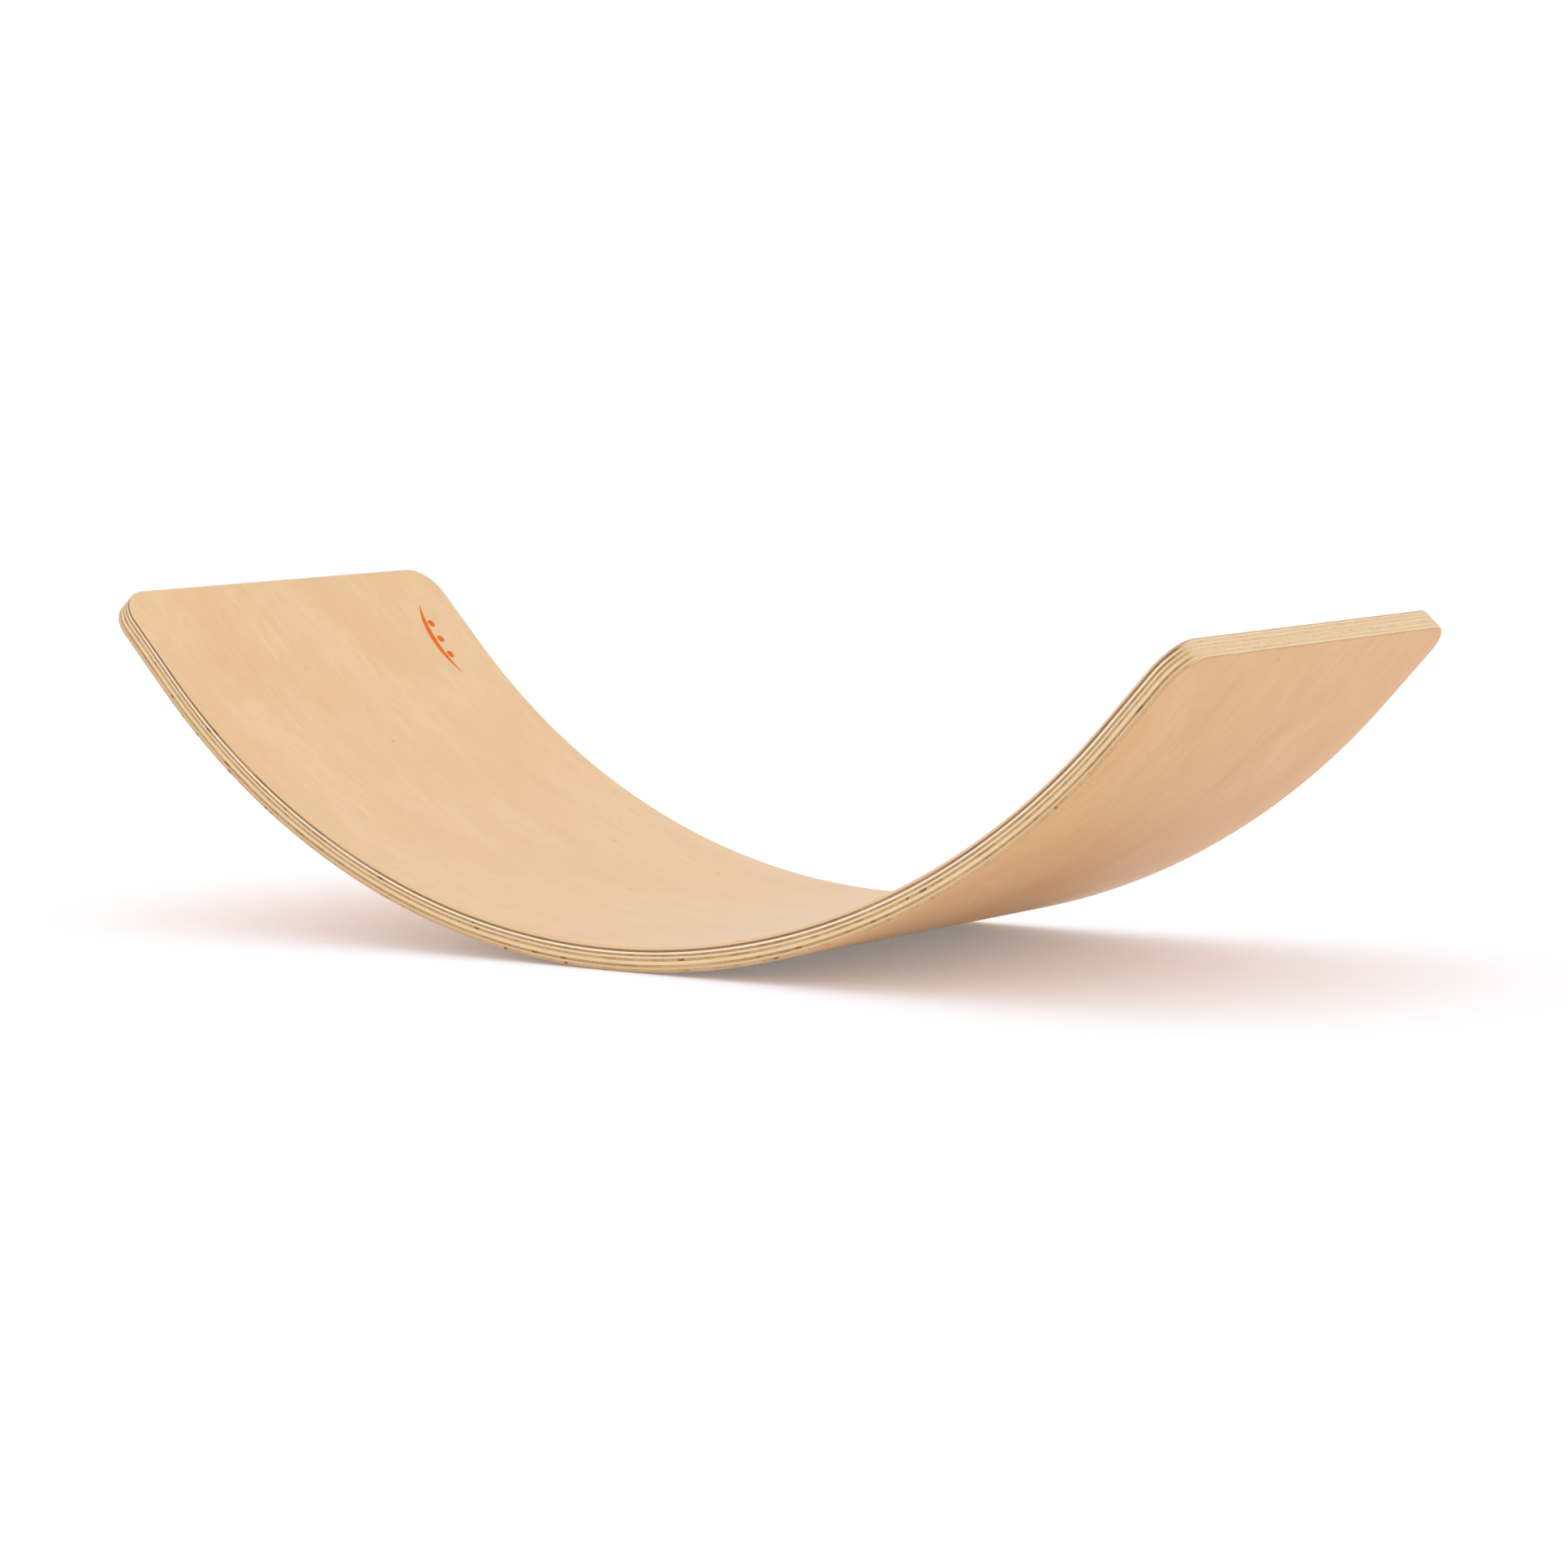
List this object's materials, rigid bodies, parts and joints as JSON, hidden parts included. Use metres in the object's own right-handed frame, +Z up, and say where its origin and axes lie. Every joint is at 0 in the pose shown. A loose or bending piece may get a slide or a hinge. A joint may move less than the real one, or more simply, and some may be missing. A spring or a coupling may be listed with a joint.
{
  "type": "balance board",
  "caption": "Curved balance board: a broad, thick strip of bent plywood with short flat ends, rounded corners and softened edges, which rocks on its own round underside.",
  "frame": {"origin": "middle of the round underside, where the level board touches the floor", "axes": "+X along the board towards the end without the print, +Y across the board, +Z up"},
  "size_m": [0.7584, 0.3, 0.2028],
  "materials": {
    "face_veneer": "clear satin lacquer over pale veneer, grain along the board",
    "long_veneer": "sanded and lacquered edge, grain along the board",
    "cross_veneer": "sanded and lacquered edge, grain across the board",
    "glue": "cured resin glue",
    "ink": "orange screen-printed ink"
  },
  "bodies": {
    "root": {"outer_face_veneer": "face_veneer", "glue_line_01": "glue", "cross_veneer_1": "cross_veneer", "glue_line_02": "glue", "long_veneer_1": "long_veneer", "glue_line_03": "glue", "cross_veneer_2": "cross_veneer", "glue_line_04": "glue", "core_veneer": "long_veneer", "glue_line_05": "glue", "cross_veneer_3": "cross_veneer", "glue_line_06": "glue", "long_veneer_2": "long_veneer", "glue_line_07": "glue", "cross_veneer_4": "cross_veneer", "glue_line_08": "glue", "long_veneer_3": "long_veneer", "glue_line_09": "glue", "cross_veneer_5": "cross_veneer", "glue_line_10": "glue", "inner_face_veneer": "face_veneer", "printed_mark": "ink"}
  },
  "joints": []
}
